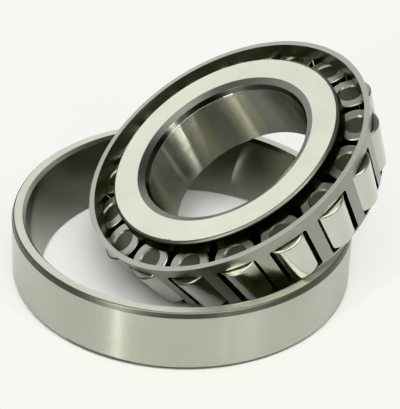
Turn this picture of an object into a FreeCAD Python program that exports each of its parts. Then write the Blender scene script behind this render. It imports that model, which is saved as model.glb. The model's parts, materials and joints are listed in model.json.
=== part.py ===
import FreeCAD, Part
import math
import os
import Sketcher

# A single-row tapered roller bearing, taken apart: the cup lies on its back face, and the cone assembly
# (inner ring, rollers and cage) lies in it, tilted, with its small end on the floor and one side on the rim.
# Row frame: +Z up, origin at the centre of the cup's back face. Every section below is drawn in the running
# position, where both rings share the Z axis and the cup's back face is at height 0; the pieces of the cone
# assembly then get the placement that tilts them. Millimetres and degrees.

SIZES = [
    # boundary dimensions
    ("bore_radius", 20.0, "shaft bore"),
    ("cup_radius", 40.0, "housing seat"),
    ("bearing_width", 19.75, "cup back face to cone back face, running"),
    ("cone_width", 18.0, "inner ring"),
    ("cup_width", 16.0, "outer ring"),
    ("cup_small_radius", 32.865, "cup raceway carried on to the cup's back face"),
    ("cup_angle", 14.036, "half angle of the cup raceway"),
    # rollers
    ("roller_count", 17, "rollers"),
    ("roller_half_angle", 1.95, "half angle of a roller's taper"),
    ("roller_length", 12.8, "end to end"),
    ("roller_height", 15.25, "centre of the large end above the cup's back face"),
    ("roller_edge", 0.45, "round on both end edges"),
    ("recess_radius", 2.9, "recess in the large end, at its mouth"),
    ("recess_floor", 2.6, "recess in the large end, at its floor"),
    ("recess_depth", 0.35, "recess in the large end"),
    # cup
    ("cup_back_edge", 1.5, "round on the outer back edge"),
    ("cup_back_inside", 0.7, "chamfer on the inner back edge"),
    ("cup_front_drop", 1.3, "chamfer on the outer front edge, along the axis"),
    ("cup_front_step", 0.45, "chamfer on the outer front edge, across"),
    ("cup_front_round", 0.5, "round between that chamfer and the front face"),
    ("cup_mouth_radius", 37.45, "inner edge of the front face"),
    ("cup_mouth_drop", 0.8, "chamfer from the front face into the raceway"),
    # inner ring
    ("rib_radius", 28.8, "large rib"),
    ("rib_edge", 0.35, "chamfer on the large rib, towards the rollers"),
    ("rib_back_round", 0.8, "round on the large rib at the back face"),
    ("small_rib_radius", 25.2, "small rib"),
    ("small_rib_edge", 0.5, "chamfer on the small rib"),
    ("back_chamfer_across", 2.3, "bore chamfer at the back face, across"),
    ("back_chamfer_along", 1.9, "bore chamfer at the back face, along"),
    ("back_ease_across", 0.7, "its steeper facet next to the bore, across"),
    ("back_ease_along", 1.2, "its steeper facet next to the bore, along"),
    ("front_chamfer", 1.2, "bore chamfer at the front face"),
    ("running_gap", 0.04, "rollers to raceway"),
    ("rib_gap", 0.12, "rollers to large rib"),
    ("small_rib_gap", 0.3, "rollers to small rib"),
    ("relief_depth", 0.35, "grinding reliefs at both ends of the raceway"),
    ("relief_width", 0.9, "grinding reliefs along the raceway"),
    # cage
    ("sheet", 1.3, "sheet thickness"),
    ("cage_radius", 35.0, "outside of the wall at the reference height"),
    ("cage_reference", 14.65, "reference height"),
    ("cage_top", 18.3, "large-end edge"),
    ("cage_bend", 2.0, "outside radius of the bend at the small end"),
    ("flange_radius", 25.9, "hole in the small-end flange"),
    ("window_top", 15.0, "large-end edge of a window"),
    ("window_bottom", 1.55, "small-end edge of a window"),
    ("window_wide", 4.83, "half width at the large end"),
    ("window_narrow", 4.38, "half width at the small end"),
    ("window_corner", 0.6, "corner radius"),
    # how the cone assembly lies in the cup
    ("lean_angle", 29.0, "tilt of the cone's axis, towards -X"),
    ("lean_offset", 9.5, "centre of the cone's back face, along X"),
    ("lean_turn", -4.1, "turn of the first roller about the cone's axis"),
    ("floor_gap", 0.05, "cage to floor"),
]

# Lengths and angles that follow from the sheet, as expressions.
APEX = "(Sizes.cup_small_radius / tan(Sizes.cup_angle))"
AXIS_ANGLE = "(Sizes.cup_angle - Sizes.roller_half_angle)"
CONE_ANGLE = "(Sizes.cup_angle - 2 * Sizes.roller_half_angle)"
ROLLER_REACH = f"((Sizes.roller_height + {APEX}) / cos({AXIS_ANGLE}))"
PITCH = "(360 / Sizes.roller_count)"

FRONT = "(Sizes.bearing_width - Sizes.cone_width)"
BACK = "Sizes.bearing_width"

doc = FreeCAD.newDocument("tapered_roller_bearing")


def make_sheet():
    """Fill the spreadsheet with the driving sizes."""
    sheet = doc.addObject("Spreadsheet::Sheet", "Sizes")
    for row, (alias, value, note) in enumerate(SIZES, start=1):
        sheet.set(f"A{row}", alias)
        sheet.set(f"B{row}", str(value))
        sheet.setAlias(f"B{row}", alias)
        sheet.set(f"C{row}", note)
    doc.recompute()
    return sheet


sheet = make_sheet()


def value_of(expression):
    """The present value of an expression on the sheet."""
    return float(sheet.evalExpression(expression))


def new_body(name):
    body = doc.addObject("PartDesign::Body", name)
    body.Label = name
    return body


def start_sketch(body, name, plane_role):
    """An empty sketch on one of the body's own origin planes."""
    sketch = body.newObject("Sketcher::SketchObject", name)
    plane = next(item for item in body.Origin.OriginFeatures if item.Role == plane_role)
    sketch.AttachmentSupport = [(plane, "")]
    sketch.MapMode = "FlatFace"
    return sketch


def place_corners(points):
    return [FreeCAD.Vector(value_of(across), value_of(up), 0) for across, up in points]


def pin_corner(sketch, element, label, point):
    """Hold the start of a sketch element: each coordinate on the axis for 0, or at its expression's value."""
    across, up = point
    for kind, zero_axis, expression in (("DistanceX", -2, across), ("DistanceY", -1, up)):
        if expression == "0":
            sketch.addConstraint(Sketcher.Constraint("PointOnObject", element, 1, zero_axis))
            continue
        number = sketch.addConstraint(Sketcher.Constraint(kind, -1, 1, element, 1, value_of(expression)))
        sketch.renameConstraint(number, f"{kind}_{label}")
        sketch.setExpression(f"Constraints.{kind}_{label}", expression)


def draw_outline(body, name, plane_role, points):
    """A closed sketch; each corner is a pair of expressions, across and up."""
    sketch = start_sketch(body, name, plane_role)
    corners = place_corners(points)
    count = len(corners)
    for index, corner in enumerate(corners):
        sketch.addGeometry(Part.LineSegment(corner, corners[(index + 1) % count]))
    for index in range(count):
        sketch.addConstraint(Sketcher.Constraint("Coincident", index, 2, (index + 1) % count, 1))
    for index, point in enumerate(points):
        pin_corner(sketch, index, index, point)
    return sketch


def round_corner(before, corner, after, radius):
    """The arc that rounds a convex corner of an anticlockwise outline, with its two ends."""
    to_before = (before - corner).normalize()
    to_after = (after - corner).normalize()
    half = to_before.getAngle(to_after) / 2
    start = corner + to_before * (radius / math.tan(half))
    end = corner + to_after * (radius / math.tan(half))
    centre = corner + (to_before + to_after).normalize() * (radius / math.sin(half))
    angles = [math.atan2(point.y - centre.y, point.x - centre.x) for point in (start, end)]
    circle = Part.Circle(centre, FreeCAD.Vector(0, 0, 1), radius)
    return Part.ArcOfCircle(circle, *angles), start, end


def draw_rounded_outline(body, name, plane_role, points, radius):
    """As draw_outline, for an anticlockwise outline with every corner rounded to one radius."""
    sketch = start_sketch(body, name, plane_role)
    corners = place_corners(points)
    count = len(corners)
    size = value_of(radius)
    rounds = [round_corner(corners[index - 1], corner, corners[(index + 1) % count], size)
              for index, corner in enumerate(corners)]
    lines = []
    for index in range(count):
        leaving = rounds[index][2]
        arriving = rounds[(index + 1) % count][1]
        lines.append(sketch.addGeometry(Part.LineSegment(leaving, arriving)))
    arcs = [sketch.addGeometry(arc) for arc, start, end in rounds]
    for index, point in enumerate(points):
        mark = sketch.addGeometry(Part.Point(corners[index]), True)
        pin_corner(sketch, mark, index, point)
        for line in (lines[index - 1], lines[index]):
            sketch.addConstraint(Sketcher.Constraint("PointOnObject", mark, 1, line))
        sketch.addConstraint(Sketcher.Constraint("Tangent", lines[index - 1], 2, arcs[index], 1))
        sketch.addConstraint(Sketcher.Constraint("Tangent", arcs[index], 2, lines[index], 1))
    for arc in arcs[1:]:
        sketch.addConstraint(Sketcher.Constraint("Equal", arcs[0], arc))
    number = sketch.addConstraint(Sketcher.Constraint("Radius", arcs[0], size))
    sketch.renameConstraint(number, "corner_radius")
    sketch.setExpression("Constraints.corner_radius", radius)
    return sketch


def revolve(body, sketch):
    """A full turn of a half section about the body's Z axis."""
    feature = body.newObject("PartDesign::Revolution", "Turned")
    feature.Profile = sketch
    feature.ReferenceAxis = (sketch, ["V_Axis"])
    feature.Angle = 360
    sketch.Visibility = False
    doc.recompute()
    return feature


def round_edges(body, base, name, wanted, radius):
    """Round every edge of the base for which wanted(edge) is true."""
    names = [f"Edge{number}" for number, edge in enumerate(base.Shape.Edges, start=1) if wanted(edge)]
    feature = body.newObject("PartDesign::Fillet", name)
    feature.Base = (base, names)
    feature.setExpression("Radius", radius)
    doc.recompute()
    return feature


def is_circle(edge, radius, height):
    """Whether an edge is the circle of that radius about Z at that height."""
    curve = edge.Curve
    if not isinstance(curve, Part.Circle):
        return False
    return abs(curve.Radius - radius) < 0.02 and abs(curve.Center.z - height) < 0.02


# --- cup ------------------------------------------------------------------------------------------------

def cup_raceway(height):
    return f"Sizes.cup_small_radius + ({height}) * tan(Sizes.cup_angle)"


def make_cup():
    body = new_body("cup")
    mouth = "Sizes.cup_width - Sizes.cup_mouth_drop"
    section = draw_outline(body, "cup_section", "XZ_Plane", [
        ("Sizes.cup_small_radius + Sizes.cup_back_inside", "0"),
        ("Sizes.cup_radius", "0"),
        ("Sizes.cup_radius", "Sizes.cup_width - Sizes.cup_front_drop"),
        ("Sizes.cup_radius - Sizes.cup_front_step", "Sizes.cup_width"),
        ("Sizes.cup_mouth_radius", "Sizes.cup_width"),
        (cup_raceway(mouth), mouth),
        (cup_raceway("Sizes.cup_back_inside"), "Sizes.cup_back_inside"),
    ])
    turned = revolve(body, section)
    outer = value_of("Sizes.cup_radius")
    backed = round_edges(body, turned, "cup_back_round", lambda edge: is_circle(edge, outer, 0),
                         "Sizes.cup_back_edge")
    inside = value_of("Sizes.cup_radius - Sizes.cup_front_step")
    front = value_of("Sizes.cup_width")
    round_edges(body, backed, "cup_front_round", lambda edge: is_circle(edge, inside, front),
                "Sizes.cup_front_round")


# --- inner ring -----------------------------------------------------------------------------------------

def along_raceway(reach, depth="0"):
    """The inner raceway's point at a distance along the roller axis from the apex, sunk by a depth."""
    sunk = f"(Sizes.running_gap + {depth})"
    along = f"(({reach} + {sunk} * sin(Sizes.roller_half_angle)) / cos(Sizes.roller_half_angle))"
    across = f"{along} * sin({CONE_ANGLE}) - {sunk} * cos({CONE_ANGLE})"
    up = f"{along} * cos({CONE_ANGLE}) + {sunk} * sin({CONE_ANGLE}) - {APEX}"
    return across, up


def along_rib(radius, reach):
    """The point at a radius on the plane square to the roller axis at a distance from the apex."""
    return radius, f"({reach} - ({radius}) * sin({AXIS_ANGLE})) / cos({AXIS_ANGLE}) - {APEX}"


def make_inner_ring():
    body = new_body("inner_ring")
    small_rib = "Sizes.small_rib_radius"
    rib_inside = "(Sizes.rib_radius - Sizes.rib_edge)"
    low = f"({ROLLER_REACH} - Sizes.roller_length - Sizes.small_rib_gap)"
    high = f"({ROLLER_REACH} + Sizes.rib_gap)"
    deep = "Sizes.relief_depth"
    width = "Sizes.relief_width"
    rib_corner, rib_height = along_rib("Sizes.rib_radius", high)
    chamfer_foot = f"{BACK} - Sizes.back_chamfer_along"
    section = draw_outline(body, "ring_section", "XZ_Plane", [
        ("Sizes.bore_radius", f"{FRONT} + Sizes.front_chamfer"),
        ("Sizes.bore_radius + Sizes.front_chamfer", FRONT),
        (f"{small_rib} - Sizes.small_rib_edge", FRONT),
        (small_rib, f"{FRONT} + Sizes.small_rib_edge"),
        along_rib(small_rib, low),
        along_raceway(low, deep),
        along_raceway(f"({low} + {width})", deep),
        along_raceway(f"({low} + 1.5 * {width})"),
        along_raceway(f"({high} - 1.5 * {width})"),
        along_raceway(f"({high} - {width})", deep),
        along_raceway(high, deep),
        along_rib(rib_inside, high),
        (rib_corner, f"{rib_height} + Sizes.rib_edge"),
        ("Sizes.rib_radius", BACK),
        ("Sizes.bore_radius + Sizes.back_chamfer_across", BACK),
        ("Sizes.bore_radius + Sizes.back_ease_across", f"{chamfer_foot} + Sizes.back_ease_along"),
        ("Sizes.bore_radius", chamfer_foot),
    ])
    turned = revolve(body, section)
    outer = value_of("Sizes.rib_radius")
    back = value_of(BACK)
    round_edges(body, turned, "rib_back_round", lambda edge: is_circle(edge, outer, back),
                "Sizes.rib_back_round")
    body.setExpression("Placement", f"{LEAN} * {TURN}")


# --- rollers --------------------------------------------------------------------------------------------

def make_roller(number):
    body = new_body(f"roller_{number:02d}")
    large = f"{ROLLER_REACH} * tan(Sizes.roller_half_angle)"
    small = f"({ROLLER_REACH} - Sizes.roller_length) * tan(Sizes.roller_half_angle)"
    section = draw_outline(body, f"roller_section_{number:02d}", "XZ_Plane", [
        ("0", "0"),
        (small, "0"),
        (large, "Sizes.roller_length"),
        ("Sizes.recess_radius", "Sizes.roller_length"),
        ("Sizes.recess_floor", "Sizes.roller_length - Sizes.recess_depth"),
        ("0", "Sizes.roller_length - Sizes.recess_depth"),
    ])
    turned = revolve(body, section)
    top = value_of("Sizes.roller_length")
    ends = [(value_of(small), 0.0), (value_of(large), top)]
    round_edges(body, turned, f"roller_round_{number:02d}",
                lambda edge: any(is_circle(edge, radius, height) for radius, height in ends),
                "Sizes.roller_edge")
    around = f"placement(vector(0; 0; 0); rotation(vector(0; 0; 1); {number - 1} * {PITCH}))"
    tilt = f"placement(vector(0; 0; -{APEX}); rotation(vector(0; 1; 0); {AXIS_ANGLE}))"
    along = f"placement(vector(0; 0; {ROLLER_REACH} - Sizes.roller_length); rotation(vector(0; 0; 1); 0))"
    body.setExpression("Placement", f"{LEAN} * {TURN} * {around} * {tilt} * {along}")


# --- cage -----------------------------------------------------------------------------------------------

def cage_wall(height):
    """Outside radius of the cage's wall, which runs parallel to the roller axes."""
    return f"(Sizes.cage_radius + ({height} - Sizes.cage_reference) * tan({AXIS_ANGLE}))"


WALL_ACROSS = f"(Sizes.sheet / cos({AXIS_ANGLE}))"


def cut_windows(body, base):
    """One window through the wall on the +X side, repeated around the axis."""
    before = base.Shape.Volume
    window = draw_rounded_outline(body, "window_outline", "YZ_Plane", [
        ("-Sizes.window_narrow", "Sizes.window_bottom"),
        ("Sizes.window_narrow", "Sizes.window_bottom"),
        ("Sizes.window_wide", "Sizes.window_top"),
        ("-Sizes.window_wide", "Sizes.window_top"),
    ], "Sizes.window_corner")
    pocket = body.newObject("PartDesign::Pocket", "window")
    pocket.Profile = window
    pocket.Type = "ThroughAll"
    pocket.Reversed = True
    window.Visibility = False
    doc.recompute()
    one = before - pocket.Shape.Volume
    pattern = body.newObject("PartDesign::PolarPattern", "windows")
    pattern.Originals = [pocket]
    pattern.Axis = (window, ["V_Axis"])
    pattern.Angle = 360
    pattern.setExpression("Occurrences", "Sizes.roller_count")
    body.Tip = pattern
    doc.recompute()
    removed = before - pattern.Shape.Volume
    count = value_of("Sizes.roller_count")
    if one < 1 or abs(removed - count * one) > 0.01 * removed:
        raise SystemExit(f"the windows removed {removed} in place of {count} x {one}")


def make_cage():
    body = new_body("cage")
    inner_foot = f"{cage_wall('Sizes.sheet')} - {WALL_ACROSS}"
    section = draw_outline(body, "cage_section", "XZ_Plane", [
        ("Sizes.flange_radius", "0"),
        (cage_wall("0"), "0"),
        (cage_wall("Sizes.cage_top"), "Sizes.cage_top"),
        (f"{cage_wall('Sizes.cage_top')} - {WALL_ACROSS}", "Sizes.cage_top"),
        (inner_foot, "Sizes.sheet"),
        ("Sizes.flange_radius", "Sizes.sheet"),
    ])
    turned = revolve(body, section)
    foot = value_of(cage_wall("0"))
    bent = round_edges(body, turned, "outer_bend", lambda edge: is_circle(edge, foot, 0), "Sizes.cage_bend")
    inner = value_of(inner_foot)
    thick = value_of("Sizes.sheet")
    bent = round_edges(body, bent, "inner_bend", lambda edge: is_circle(edge, inner, thick),
                       "Sizes.cage_bend - Sizes.sheet")
    cut_windows(body, bent)
    body.setExpression("Placement", f"{LEAN} * {TURN}")


# --- the tilted placement of the cone assembly ------------------------------------------------------------

BEND_RADIUS = f"({cage_wall('Sizes.cage_bend')} - Sizes.cage_bend / cos({AXIS_ANGLE}))"
LEAN_HEIGHT = (f"(Sizes.floor_gap + Sizes.cage_bend + {BEND_RADIUS} * sin(Sizes.lean_angle)"
               f" + (Sizes.bearing_width - Sizes.cage_bend) * cos(Sizes.lean_angle))")
LEAN = (f"placement(vector(Sizes.lean_offset; 0; {LEAN_HEIGHT});"
        f" rotation(vector(0; 1; 0); -Sizes.lean_angle))")
TURN = "placement(vector(0; 0; -Sizes.bearing_width); rotation(vector(0; 0; 1); Sizes.lean_turn))"

make_cup()
make_inner_ring()
make_cage()
for number in range(1, int(value_of("Sizes.roller_count")) + 1):
    make_roller(number)
doc.recompute()

failed = [item.Name for item in doc.Objects if {"Invalid", "Error"} & set(item.State)]
bodies = [item for item in doc.Objects if item.TypeId == "PartDesign::Body"]
failed += [body.Label for body in bodies if body.Shape.isNull() or not body.Shape.isValid()]
if failed:
    raise SystemExit(f"failed: {failed}")

os.makedirs("parts", exist_ok=True)
for body in bodies:
    body.Shape.exportStep(f"parts/{body.Label}.step")
    print(body.Label, len(body.Shape.Solids), round(body.Shape.Volume, 2))
print("back face height", round(value_of(LEAN_HEIGHT), 4))
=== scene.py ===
import json
import math

import bpy
from mathutils import Matrix, Vector

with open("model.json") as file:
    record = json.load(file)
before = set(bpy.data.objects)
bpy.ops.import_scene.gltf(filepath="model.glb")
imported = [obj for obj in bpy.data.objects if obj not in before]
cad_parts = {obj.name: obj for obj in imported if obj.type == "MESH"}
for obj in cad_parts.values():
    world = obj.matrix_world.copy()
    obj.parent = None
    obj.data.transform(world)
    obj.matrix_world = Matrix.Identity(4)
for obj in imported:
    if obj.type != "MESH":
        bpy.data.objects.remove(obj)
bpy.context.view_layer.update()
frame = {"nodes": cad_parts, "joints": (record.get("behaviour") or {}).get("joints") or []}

# A tapered roller bearing taken apart, in plain soft studio light. Every piece is its CAD node, and this
# script gives it its steel. All of them are turned, ground or pressed round an axis, so each material works
# in the space around its piece's own axis: how far out a point is, which way its surface looks, and how far
# it is along the section. The tool marks run round the axis.

MM = 0.001

# camera: where it stands round the bearing and what it looks at
CAMERA_TURN = math.radians(-19.84)
CAMERA_HEIGHT = math.radians(33.9)
CAMERA_ROLL = math.radians(2.32)
CAMERA_DISTANCE = 486.5 * MM
AIM_RIGHT = 4.01 * MM
AIM_UP = 15.09 * MM
LENS = 179.3
NEAR_CLIP = 0.01

# room: how bright each part of it is, and its colours
BACKDROP = 1.0
BACKDROP_SHOWN = 1.35           # what the camera itself sees past the floor
DARK_SIDE = 0.03
SIDE_BLEND = 0.35               # half width of the change from the dark side to the backdrop
CEILING_EDGE = (0.62, 0.78)     # the backdrop dims between these heights, given as sines
CEILING_LOSS = 0.75             # the share of it that is lost above them
ROOM_COLOUR = (0.975, 1.0, 0.99, 1.0)

# overhead light: a large soft disc, high on the camera's side
OVERHEAD = 4.3
OVERHEAD_AZIMUTH = -5
OVERHEAD_HEIGHT = 60
OVERHEAD_REACH = math.radians(28)
OVERHEAD_SOFT = 0.2             # soft edge, as a share of the reach
OVERHEAD_COLOUR = (1.0, 0.995, 0.975, 1.0)

# lamps: azimuth and elevation in degrees, width and height in metres, radiance, colour
LAMPS = {
    "left_lamp": (-36.5, 20.5, 0.03, 0.32, 250.0, (1.0, 0.98, 0.86)),
    "right_lamp": (46.5, 40, 0.02, 0.74, 120.0, (1.0, 0.98, 0.88)),
    "green_lamp": (37.3, 14, 0.02, 0.40, 14.0, (0.72, 1.0, 0.97)),
    "rose_lamp": (28.3, 18, 0.02, 0.55, 26.0, (1.0, 0.80, 0.76)),
}
LAMP_DISTANCE = 1.0

# floor: half its width, the two whites of its grain, how fine the grain is, and its roughness
FLOOR_HALF = 2.0
FLOOR_WHITES = ((0.83, 0.84, 0.835, 1.0), (0.85, 0.86, 0.855, 1.0))
FLOOR_GRAIN = 900.0
FLOOR_ROUGHNESS = 0.5

# radii in mm where a finish or a painted shade changes, each with half the width of the change
RING_CHAMFER = (22.3, 0.1)      # the turned chamfer round the bore
RING_SHADED_LIP = (20.7, 0.1)          # the inner edge of that chamfer, painted dark as shade for the dark room it reflects
RING_BORE = (20.05, 0.03)       # the ground wall of the bore
RING_RIB = (27.95, 0.05)        # the rounded corner of the large rib
ROLLER_RECESS = (2.915, 0.035)  # the recess in a roller's large end

# grinding grooves: how close they lie, and how far they lean the surface along the axis
GROOVES_PER_MM = 1000.0
CUP_GROOVES = 0.55
RING_GROOVES = 1.1

# variation of every steel: the middle of each noise that is used, and how far it moves shade and roughness
MARKS_RANGE = (0.25, 0.75)
SOFT_RANGE = (0.3, 0.7)
MARKS_SHADE = (0.965, 1.035)
PATCHES_SHADE = (-0.03, 0.03)
SPECKLE_SHADE = (-0.02, 0.02)
MARKS_ROUGHNESS = (-0.01, 0.01)
PATCHES_ROUGHNESS = (-0.01, 0.015)
PATCHES_SCALE = 70.0
WEAR_SCALE = 400.0
WEAR_RANGE = (0.35, 0.6)        # an edge goes from least to fully rubbed between these values of the noise
LEAST_WEAR = 0.35
TURNED_EDGE = (0.995, 0.9)      # cosine between the bevelled and the true normal, from flat to edge
QUARTER_TURN = 0.25             # turns the stretch of a reflection from along the tool marks to across them

JOINTS = {joint["child"]: joint for joint in frame["joints"] if joint["type"] == "hinge"}


# --- node trees -----------------------------------------------------------------------------------

class Tree:
    """Adds nodes to one node tree. Each method but node and feed returns the new node's output."""

    def __init__(self, tree):
        self.tree = tree

    def node(self, kind, **settings):
        made = self.tree.nodes.new(kind)
        for key, value in settings.items():
            setattr(made, key, value)
        return made

    def feed(self, socket, value):
        """Link an output to a socket, or set the socket's own value."""
        if isinstance(value, bpy.types.NodeSocket):
            self.tree.links.new(value, socket)
        else:
            socket.default_value = value

    def math(self, operation, first, second=0.0):
        made = self.node("ShaderNodeMath", operation=operation)
        self.feed(made.inputs[0], first)
        self.feed(made.inputs[1], second)
        return made.outputs[0]

    def vector(self, operation, first, second=(0.0, 0.0, 0.0)):
        made = self.node("ShaderNodeVectorMath", operation=operation)
        self.feed(made.inputs[0], first)
        self.feed(made.inputs[1], second)
        return made.outputs["Value" if operation in ("DOT_PRODUCT", "LENGTH") else "Vector"]

    def scaled(self, vector, factor):
        made = self.node("ShaderNodeVectorMath", operation="SCALE")
        self.feed(made.inputs[0], vector)
        self.feed(made.inputs["Scale"], factor)
        return made.outputs["Vector"]

    def step(self, value, low, high, first=0.0, last=1.0):
        """A smooth step from first to last as the value goes from low to high."""
        made = self.node("ShaderNodeMapRange", interpolation_type="SMOOTHSTEP")
        self.feed(made.inputs["Value"], value)
        self.feed(made.inputs["From Min"], low)
        self.feed(made.inputs["From Max"], high)
        self.feed(made.inputs["To Min"], first)
        self.feed(made.inputs["To Max"], last)
        return made.outputs["Result"]

    def mix(self, factor, first, second):
        made = self.node("ShaderNodeMix", data_type="FLOAT")
        self.feed(made.inputs[0], factor)
        self.feed(made.inputs[2], first)
        self.feed(made.inputs[3], second)
        return made.outputs[0]

    def mix_colour(self, factor, first, second):
        made = self.node("ShaderNodeMix", data_type="RGBA")
        self.feed(made.inputs[0], factor)
        self.feed(made.inputs[6], first)
        self.feed(made.inputs[7], second)
        return made.outputs[2]

    def noise(self, vector, scale, detail=2.0):
        made = self.node("ShaderNodeTexNoise")
        self.feed(made.inputs["Vector"], vector)
        made.inputs["Scale"].default_value = scale
        made.inputs["Detail"].default_value = detail
        return made.outputs["Fac"]

    def to_world(self, vector):
        turned = self.node("ShaderNodeVectorTransform", vector_type="VECTOR",
                           convert_from="OBJECT", convert_to="WORLD")
        self.feed(turned.inputs[0], vector)
        return turned.outputs[0]

    def attribute(self, name):
        made = self.node("ShaderNodeAttribute", attribute_type="OBJECT", attribute_name=name)
        return made.outputs["Vector"]


def grey(level, red=0.975, blue=0.91):
    """A metal's colour: a level with a slight olive warmth in it."""
    return (level * red, level, level * blue, 1.0)


# --- the space around a piece's axis --------------------------------------------------------------

def make_axis_space():
    """A node group: where a point lies around the axis that its object's own properties name.

    Radius and run are in mm: run goes along the axis and outwards together, so that it grows over walls and
    end faces alike. Facing and outward are 1 where the surface looks along the axis and away from it. Spoke
    points outwards, lay is the point that noise along the tool marks is read at, and round and axis are
    directions in the world.
    """
    group = bpy.data.node_groups.new("axis_space", "ShaderNodeTree")
    tree = Tree(group)
    place = tree.node("ShaderNodeTexCoord")
    axis = tree.attribute("axis_dir")
    offset = tree.vector("SUBTRACT", place.outputs["Object"], tree.attribute("axis_point"))
    along = tree.vector("DOT_PRODUCT", offset, axis)
    across = tree.vector("SUBTRACT", offset, tree.scaled(axis, along))
    radius = tree.vector("LENGTH", across)
    spoke = tree.vector("NORMALIZE", across)
    run = tree.math("MULTIPLY", tree.math("ADD", along, radius), 1 / MM)
    results = {
        "Radius": ("NodeSocketFloat", tree.math("MULTIPLY", radius, 1 / MM)),
        "Facing": ("NodeSocketFloat", tree.vector("DOT_PRODUCT", place.outputs["Normal"], axis)),
        "Outward": ("NodeSocketFloat", tree.vector("DOT_PRODUCT", place.outputs["Normal"], spoke)),
        "Spoke": ("NodeSocketVector", spoke),
        "Lay": ("NodeSocketVector", tree.vector("ADD", spoke, tree.scaled(axis, run))),
        "Round": ("NodeSocketVector", tree.to_world(tree.vector("CROSS_PRODUCT", axis, spoke))),
        "Axis": ("NodeSocketVector", tree.to_world(axis)),
        "Run": ("NodeSocketFloat", run),
    }
    for name, (kind, _) in results.items():
        group.interface.new_socket(name=name, in_out="OUTPUT", socket_type=kind)
    group_output = tree.node("NodeGroupOutput")
    for name, (_, value) in results.items():
        tree.feed(group_output.inputs[name], value)
    return group


AXIS_SPACE = make_axis_space()


def name_axis(node_name, point, direction):
    """Give a node the axis that its material works around."""
    node = frame["nodes"][node_name]
    node["axis_point"] = [float(value) for value in point]
    node["axis_dir"] = [float(value) for value in direction]


# --- steel ----------------------------------------------------------------------------------------

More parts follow.
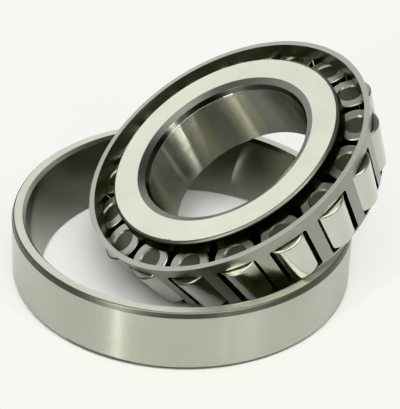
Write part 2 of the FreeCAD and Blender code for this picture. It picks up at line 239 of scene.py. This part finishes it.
class Steel(Tree):
    """A steel whose finish changes from face to face. Finishes, and painted shade on some corners, edges
    and gaps, are laid over each other by masks.

    A finish is a colour, a roughness, and directed: how much the tool marks stretch a reflection across
    themselves. Grooves is how far fine grinding grooves lean the surface along the axis, at random, which
    draws a reflection out further.
    """

    def __init__(self, name, colour, roughness, directed):
        self.material = bpy.data.materials.new(name)
        self.material.use_nodes = True
        super().__init__(self.material.node_tree)
        self.tree.nodes.clear()
        space = self.node("ShaderNodeGroup", node_tree=AXIS_SPACE).outputs
        self.radius = space["Radius"]
        self.facing = space["Facing"]
        self.outward = space["Outward"]
        self.spoke = space["Spoke"]
        self.lay = space["Lay"]
        self.round = space["Round"]
        self.axis = space["Axis"]
        self.run = space["Run"]
        self.place = self.node("ShaderNodeTexCoord").outputs["Object"]
        self.colour = colour
        self.roughness = roughness
        self.directed = directed
        self.grooves = 0.0

    def finish(self, mask, colour, roughness, directed):
        """Lay a finish over the ones before it where the mask is 1."""
        self.colour = self.mix_colour(mask, self.colour, colour)
        self.roughness = self.mix(mask, self.roughness, roughness)
        self.directed = self.mix(mask, self.directed, directed)

    def between(self, value, low, high, soft=0.05):
        """1 between two values, and 0 outside them."""
        rise = self.step(value, low - soft, low + soft)
        fall = self.step(value, high - soft, high + soft, 1.0, 0.0)
        return self.math("MULTIPLY", rise, fall)

    def within(self, radius, soft):
        """1 nearer the axis than a radius in mm, and 0 further out."""
        return self.step(self.radius, radius + soft, radius - soft)

    def beyond(self, radius, soft):
        """1 further out than a radius in mm, and 0 nearer the axis."""
        return self.step(self.radius, radius - soft, radius + soft)

    def end_face(self, low=0.9, high=0.98):
        """1 on the end face that the axis points out of."""
        return self.step(self.facing, low, high)

    def inner_wall(self):
        """1 where the surface looks towards the axis."""
        return self.step(self.outward, 0.1, -0.1)

    def both(self, first, second):
        """1 where two masks are both 1."""
        return self.math("MULTIPLY", first, second)

    def wear_edges(self, reach, colour, roughness):
        """Rub the edges in patches, where the surface turns within a short reach."""
        bevel = self.node("ShaderNodeBevel", samples=4)
        bevel.inputs["Radius"].default_value = reach
        true_normal = self.node("ShaderNodeNewGeometry").outputs["Normal"]
        turn = self.vector("DOT_PRODUCT", bevel.outputs["Normal"], true_normal)
        patches = self.step(self.noise(self.place, WEAR_SCALE), *WEAR_RANGE, LEAST_WEAR, 1.0)
        worn = self.both(self.step(turn, *TURNED_EDGE), patches)
        self.finish(worn, colour, roughness, self.directed)

    def done(self, lines, line_depth, grain, grain_depth):
        """Vary the finish along the tool marks, in soft patches and in speckle, and make the shader.

        Lines is how close the tool marks lie and grain how fine the speckle is, and both depths are metres.
        """
        marks = self.noise(self.lay, lines, 3.0)
        patches = self.noise(self.place, PATCHES_SCALE, 3.0)
        speckle = self.noise(self.place, grain, 2.0)

        shade = self.math("ADD", self.step(marks, *MARKS_RANGE, *MARKS_SHADE),
                          self.step(patches, *SOFT_RANGE, *PATCHES_SHADE))
        shade = self.math("ADD", shade, self.step(speckle, *SOFT_RANGE, *SPECKLE_SHADE))
        rough = self.math("ADD", self.roughness, self.step(marks, *MARKS_RANGE, *MARKS_ROUGHNESS))
        rough = self.math("ADD", rough, self.step(patches, *SOFT_RANGE, *PATCHES_ROUGHNESS))

        bump = self.node("ShaderNodeBump")
        bump.inputs["Distance"].default_value = 1.0
        bump.inputs["Strength"].default_value = 1.0
        height = self.math("ADD", self.math("MULTIPLY", marks, line_depth),
                           self.math("MULTIPLY", speckle, grain_depth))
        self.feed(bump.inputs["Height"], height)

        groove = self.node("ShaderNodeTexWhiteNoise", noise_dimensions="1D")
        groove_number = self.math("FLOOR", self.math("MULTIPLY", self.run, GROOVES_PER_MM))
        self.feed(groove.inputs["W"], groove_number)
        to_either_side = self.math("SUBTRACT", groove.outputs["Value"], 0.5)
        lean = self.scaled(self.axis, self.math("MULTIPLY", to_either_side, self.grooves))
        normal = self.vector("NORMALIZE", self.vector("ADD", bump.outputs["Normal"], lean))

        shader = self.node("ShaderNodeBsdfPrincipled")
        shader.inputs["Metallic"].default_value = 1.0
        shader.inputs["Anisotropic Rotation"].default_value = QUARTER_TURN
        self.feed(shader.inputs["Base Color"], self.scaled(self.colour, shade))
        self.feed(shader.inputs["Roughness"], rough)
        self.feed(shader.inputs["Anisotropic"], self.directed)
        self.feed(shader.inputs["Tangent"], self.round)
        self.feed(shader.inputs["Normal"], normal)
        output = self.node("ShaderNodeOutputMaterial")
        self.feed(output.inputs["Surface"], shader.outputs["BSDF"])
        return self.material


def cup_steel():
    """A ground and grooved outside, corners painted dark as shade (the front chamfer and round for the dark
    room they reflect, the bottom round as the contact shadow), a matt front face and a satin raceway.
    """
    steel = Steel("cup_steel", grey(0.31, 0.985, 0.89), roughness=0.15, directed=1.0)
    steel.finish(steel.inner_wall(), grey(0.38), roughness=0.24, directed=1.0)
    steel.finish(steel.end_face(), grey(0.78, 0.99, 0.87), roughness=0.45, directed=0.2)
    outside = steel.step(steel.outward, 0.1, 0.3)
    # painted shade: the front chamfer and the round above it are painted dark, standing in for the dark
    # room they reflect
    painted_shade_chamfer = steel.both(outside, steel.between(steel.facing, 0.2, 0.6, soft=0.1))
    steel.finish(painted_shade_chamfer, grey(0.10), roughness=0.36, directed=0.4)
    painted_shade_round = steel.both(outside, steel.between(steel.facing, 0.5, 0.985, soft=0.01))
    steel.finish(painted_shade_round, grey(0.13), roughness=0.45, directed=0.2)
    # painted shadow: the bottom round is painted near black as the contact shadow under the cup
    painted_contact_shadow = steel.both(outside, steel.step(steel.facing, -0.1, -0.2))
    steel.finish(painted_contact_shadow, grey(0.08), roughness=0.35, directed=0.5)
    steel.wear_edges(0.10 * MM, grey(0.34), roughness=0.35)
    straight = steel.between(steel.facing, -0.1, 0.1, soft=0.02)
    wall = steel.both(steel.step(steel.outward, 0.9, 0.99), straight)
    steel.grooves = steel.math("MULTIPLY", wall, CUP_GROOVES)
    face_grain = steel.mix(steel.step(steel.facing, 0.6, 0.9), 0.04e-6, 3.0e-6)
    return steel.done(lines=6.0, line_depth=0.04e-6, grain=1800.0, grain_depth=face_grain)


def ring_steel():
    """A matt back face, a turned chamfer round the bore whose inner edge is painted dark, the rest painted
    near black as shade, a dark rounded rib corner, and a ground and grooved bore with painted streaks of
    two faint tints.
    """
    # painted shade: the ring's own colour is near black, standing in for the deep shadow in the gap between
    # the rib and the rollers
    steel = Steel("ring_steel", grey(0.02), roughness=0.30, directed=0.5)
    steel.finish(steel.within(*RING_CHAMFER), grey(0.25, 0.96, 0.90), roughness=0.30, directed=0.5)
    # painted shade: the chamfer's inner edge is painted dark for the dark room it reflects
    steel.finish(steel.within(*RING_SHADED_LIP), grey(0.06), roughness=0.25, directed=0.5)
    # painted reflection: bands of two tints round the bore, drawn out along it, stand in for tinted
    # reflected streaks
    painted_streak_tint = steel.step(steel.noise(steel.spoke, 5.0), 0.42, 0.58)
    painted_streak_colour = steel.mix_colour(painted_streak_tint, grey(0.35, 1.0, 0.79), grey(0.30, 0.94, 0.91))
    bore = steel.within(*RING_BORE)
    steel.finish(bore, painted_streak_colour, roughness=0.22, directed=1.0)
    steel.grooves = steel.math("MULTIPLY", bore, RING_GROOVES)
    rib_round = steel.both(steel.beyond(*RING_RIB), steel.step(steel.facing, 0.1, 0.3))
    steel.finish(rib_round, grey(0.14), roughness=0.45, directed=0.2)
    steel.finish(steel.end_face(0.97, 0.99), grey(0.83, 0.99, 0.87), roughness=0.50, directed=0.1)
    steel.wear_edges(0.10 * MM, grey(0.32), roughness=0.34)
    return steel.done(lines=7.0, line_depth=0.03e-6, grain=5000.0, grain_depth=0.2e-6)


def cage_steel():
    """Pressed sheet, satin all over, smoother on the rim, and painted dark on the sides of the windows as
    shade between the cage and the rollers.
    """
    steel = Steel("cage_steel", grey(0.215), roughness=0.32, directed=0.2)
    steel.finish(steel.inner_wall(), grey(0.29), roughness=0.34, directed=0.3)
    # painted shade: the sides of the windows are painted dark as the shade between the cage and the rollers
    painted_window_shade = steel.between(steel.outward, -0.5, 0.5, soft=0.1)
    steel.finish(painted_window_shade, grey(0.10), roughness=0.35, directed=0.0)
    steel.finish(steel.end_face(), grey(0.50, 0.98, 0.88), roughness=0.30, directed=0.3)
    steel.wear_edges(0.10 * MM, grey(0.42), roughness=0.22)
    return steel.done(lines=3.0, line_depth=0.08e-6, grain=2500.0, grain_depth=0.2e-6)


def roller_steel():
    """Fine-ground sides and ends, with a dull recess in the large end."""
    steel = Steel("roller_steel", grey(0.38), roughness=0.13, directed=0.9)
    steel.finish(steel.end_face(), grey(0.45, 0.98, 0.88), roughness=0.30, directed=0.3)
    # painted shade: the corner round is painted darker than the sides to dim the lamps' glints on it
    painted_shade_corner = steel.between(steel.facing, 0.15, 0.9)
    steel.finish(painted_shade_corner, grey(0.24), roughness=0.38, directed=0.2)
    recess = steel.both(steel.step(steel.facing, 0.3, 0.5), steel.within(*ROLLER_RECESS))
    steel.finish(recess, grey(0.15, 0.96, 0.8), roughness=0.45, directed=0.0)
    steel.wear_edges(0.08 * MM, grey(0.50), roughness=0.2)
    return steel.done(lines=8.0, line_depth=0.03e-6, grain=4000.0, grain_depth=0.03e-6)


def dress(material, node_name):
    slots = frame["nodes"][node_name].data.materials
    for index in range(len(slots)):
        slots[index] = material


def dress_all():
    """Name every node's axis and give it its steel."""
    name_axis("cup", (0, 0, 0), (0, 0, 1))
    dress(cup_steel(), "cup")
    ring_joint = JOINTS["inner_ring"]
    for node_name, material in (("inner_ring", ring_steel()), ("cage", cage_steel())):
        name_axis(node_name, ring_joint["pos_m"], ring_joint["axis"])
        dress(material, node_name)
    rollers = roller_steel()
    for node_name in frame["nodes"]:
        if node_name.startswith("roller_"):
            name_axis(node_name, JOINTS[node_name]["pos_m"], JOINTS[node_name]["axis"])
            dress(rollers, node_name)


# --- floor, camera and light ----------------------------------------------------------------------

def make_floor():
    """A wide pale floor with a faint grain."""
    corners = [(-FLOOR_HALF, -FLOOR_HALF, 0), (FLOOR_HALF, -FLOOR_HALF, 0),
               (FLOOR_HALF, FLOOR_HALF, 0), (-FLOOR_HALF, FLOOR_HALF, 0)]
    mesh = bpy.data.meshes.new("floor")
    mesh.from_pydata(corners, [], [(0, 1, 2, 3)])
    floor = bpy.data.objects.new("floor", mesh)
    bpy.context.scene.collection.objects.link(floor)
    material = bpy.data.materials.new("floor_white")
    material.use_nodes = True
    tree = Tree(material.node_tree)
    shader = material.node_tree.nodes["Principled BSDF"]
    grain = tree.noise(tree.node("ShaderNodeTexCoord").outputs["Object"], FLOOR_GRAIN)
    tree.feed(shader.inputs["Base Color"], tree.mix_colour(grain, *FLOOR_WHITES))
    shader.inputs["Roughness"].default_value = FLOOR_ROUGHNESS
    mesh.materials.append(material)


def make_camera():
    """The camera, at the photograph's viewing angle."""
    turn = Matrix.Rotation(CAMERA_TURN, 3, "Z")
    forward = turn @ Vector((0, math.cos(CAMERA_HEIGHT), -math.sin(CAMERA_HEIGHT)))
    level = turn @ Vector((1, 0, 0))
    raised = level.cross(forward)
    right = math.cos(CAMERA_ROLL) * level + math.sin(CAMERA_ROLL) * raised
    up = math.cos(CAMERA_ROLL) * raised - math.sin(CAMERA_ROLL) * level
    place = level * AIM_RIGHT + raised * AIM_UP - forward * CAMERA_DISTANCE
    data = bpy.data.cameras.new("camera")
    data.lens = LENS
    data.clip_start = NEAR_CLIP
    camera = bpy.data.objects.new("camera", data)
    axes = Matrix((right, up, -forward)).transposed().to_4x4()
    camera.matrix_world = Matrix.Translation(place) @ axes
    bpy.context.scene.collection.objects.link(camera)
    bpy.context.scene.camera = camera


def way_to(azimuth, elevation):
    """A direction, in degrees. The azimuth is 0 on the camera's side and grows to the right."""
    turn = CAMERA_TURN - math.pi / 2 + math.radians(azimuth)
    rise = math.radians(elevation)
    return Vector((math.cos(turn) * math.cos(rise), math.sin(turn) * math.cos(rise), math.sin(rise)))


def make_lamps():
    """Four narrow upright lamps, which draw the streaks in the bore and the bands on the cup's wall."""
    for name, (azimuth, elevation, width, height, radiance, colour) in LAMPS.items():
        away = way_to(azimuth, elevation)
        data = bpy.data.lights.new(name, "AREA")
        data.shape = "RECTANGLE"
        data.size = width
        data.size_y = height
        data.energy = radiance * math.pi * width * height
        data.color = colour
        lamp = bpy.data.objects.new(name, data)
        turned = away.to_track_quat("Z", "Y").to_matrix().to_4x4()
        lamp.matrix_world = Matrix.Translation(away * LAMP_DISTANCE) @ turned
        bpy.context.scene.collection.objects.link(lamp)


def make_world():
    """A pale room, bright behind the bearing and dark behind the camera, with the overhead light in it."""
    world = bpy.data.worlds.new("room")
    world.use_nodes = True
    bpy.context.scene.world = world
    tree = Tree(world.node_tree)
    background = world.node_tree.nodes["Background"]
    direction = tree.node("ShaderNodeTexCoord").outputs["Generated"]
    depth = tree.vector("DOT_PRODUCT", direction, tuple(way_to(180, 0)))
    height = tree.vector("DOT_PRODUCT", direction, (0, 0, 1))
    towards_overhead = tuple(way_to(OVERHEAD_AZIMUTH, OVERHEAD_HEIGHT))
    nearness = tree.vector("DOT_PRODUCT", direction, towards_overhead)

    behind = tree.step(depth, -SIDE_BLEND, SIDE_BLEND)
    room = tree.mix(behind, DARK_SIDE, BACKDROP)
    lost = tree.math("MULTIPLY", behind, tree.step(height, *CEILING_EDGE, 0.0, CEILING_LOSS))
    room = tree.math("MULTIPLY", room, tree.math("SUBTRACT", 1.0, lost))
    outer = math.cos(OVERHEAD_REACH * (1 + OVERHEAD_SOFT))
    inner = math.cos(OVERHEAD_REACH * (1 - OVERHEAD_SOFT))
    overhead = tree.step(nearness, outer, inner)
    level = tree.mix(overhead, room, OVERHEAD)
    shown = tree.node("ShaderNodeLightPath").outputs["Is Camera Ray"]
    tree.feed(background.inputs["Strength"], tree.mix(shown, level, BACKDROP_SHOWN))
    tree.feed(background.inputs["Color"], tree.mix_colour(overhead, ROOM_COLOUR, OVERHEAD_COLOUR))


dress_all()
make_floor()
make_camera()
make_world()
make_lamps()
bpy.context.scene.view_settings.view_transform = "Khronos PBR Neutral"
